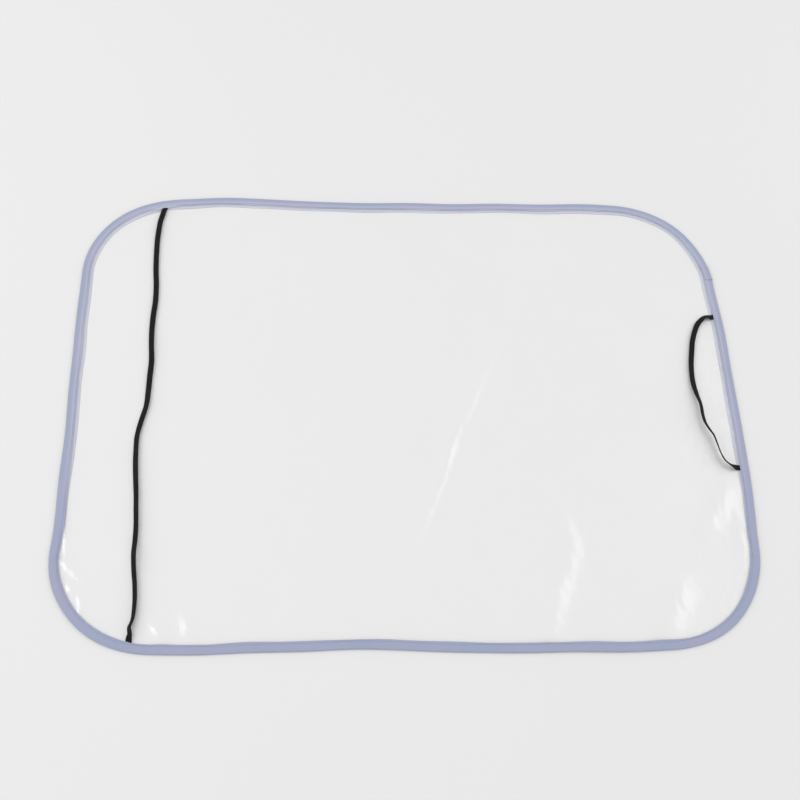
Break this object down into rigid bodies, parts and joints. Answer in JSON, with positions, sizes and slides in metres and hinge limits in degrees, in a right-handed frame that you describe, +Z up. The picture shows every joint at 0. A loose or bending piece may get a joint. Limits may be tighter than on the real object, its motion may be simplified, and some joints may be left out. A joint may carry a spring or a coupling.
{
  "type": "clear chair back cover",
  "caption": "Clear film rounded rectangle bound round its edge with folded woven tape, with a flat elastic strap across one end and a small elastic loop at the other.",
  "frame": {"origin": "under the centre of the cover, on the surface it lies on, with the cover lying flat and its elastics on top", "axes": "+X along the cover's length towards the hanging loop, +Y across it, +Z up out of the cover on the elastics' side"},
  "size_m": [0.6, 0.45, 0.0043],
  "materials": {
    "clear_film": "clear glossy vinyl film",
    "binding_tape": "pale lavender woven tape, folded and pressed",
    "sewing_thread": "polyester thread dyed to the tape",
    "black_elastic": "black braided flat elastic"
  },
  "bodies": {
    "cover": {"clear_panel": "clear_film", "edge_binding": "binding_tape", "needle_thread": "sewing_thread", "bobbin_thread": "sewing_thread", "strap_end_far": "black_elastic", "strap_end_near": "black_elastic", "loop_end_upper": "black_elastic", "loop_end_lower": "black_elastic"},
    "strap": {"long_strap": "black_elastic"},
    "loop": {"hanging_loop": "black_elastic"}
  },
  "joints": [
    {"name": "strap_lift", "type": "slide", "parent": "cover", "child": "strap", "axis": [0, 0, 1], "range_m": [0, 0.06]},
    {"name": "loop_swing", "type": "hinge", "parent": "cover", "child": "loop", "pos_m": [0.2905, 0.017, 0.0025], "axis": [0, 1, 0], "range_deg": [0, 175]}
  ]
}
